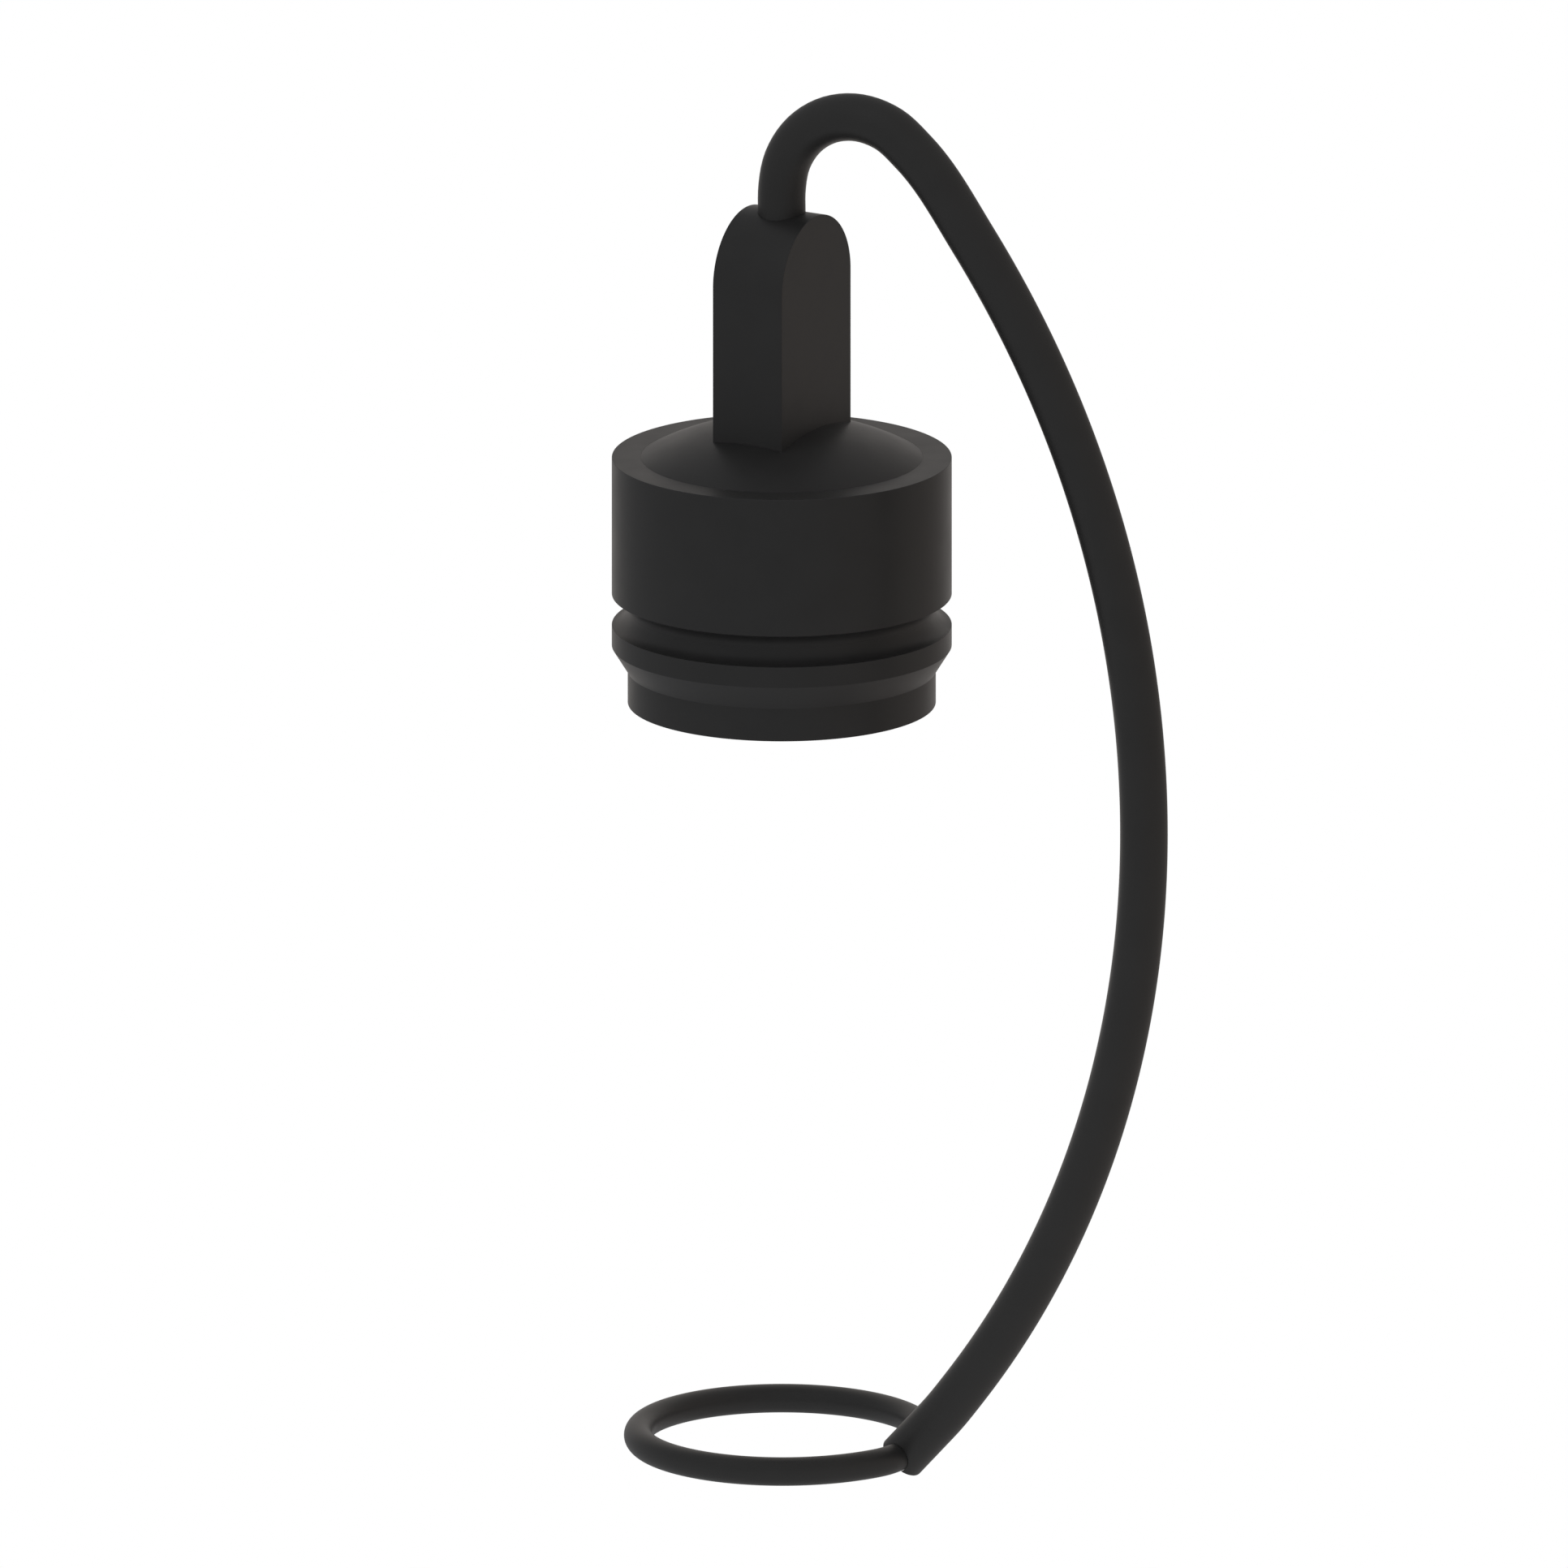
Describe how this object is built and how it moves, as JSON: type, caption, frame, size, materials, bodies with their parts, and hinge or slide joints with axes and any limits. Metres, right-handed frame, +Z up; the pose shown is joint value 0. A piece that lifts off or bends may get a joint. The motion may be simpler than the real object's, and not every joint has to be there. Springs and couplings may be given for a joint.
{
  "type": "tethered dust plug",
  "caption": "Round dust plug with a grooved nose and a domed pull tab, on an arched round tether that ends in a thin retaining ring.",
  "frame": {"origin": "centre of the plug's nose face, the end that enters the coupling first", "axes": "+Z up the plug's axis to the pull tab, +X towards the tether's arch, so the tether lies in the XZ plane"},
  "size_m": [0.0576, 0.032, 0.1337],
  "materials": {
    "black_nylon": "black moulded nylon, fine satin",
    "black_rubber": "black rubber, satin",
    "plated_steel": "zinc-plated steel",
    "soft_aluminium": "plain, crimped",
    "white_nylon": "natural nylon"
  },
  "bodies": {
    "plug": {"plug_body": "black_nylon", "nose_piece": "black_nylon", "nose_seal": "black_rubber", "pull_handle": "black_nylon", "handle_gasket": "black_rubber", "clamp_screw": "plated_steel", "screw_washer": "black_rubber"},
    "tether": {"tether_cord": "black_rubber", "tether_eye": "black_rubber", "cord_ferrule": "soft_aluminium", "swivel_washer": "white_nylon"},
    "ring": {"anchor_ring": "black_rubber"}
  },
  "joints": [
    {"name": "tether_swivel", "type": "hinge", "parent": "plug", "child": "tether", "pos_m": [0, 0, 0.0478], "axis": [0, 0, 1], "continuous": true},
    {"name": "ring_tilt", "type": "hinge", "parent": "tether", "child": "ring", "pos_m": [0.0135, 0, -0.0713], "axis": [0, 1, 0], "range_deg": [-215, 110]}
  ]
}
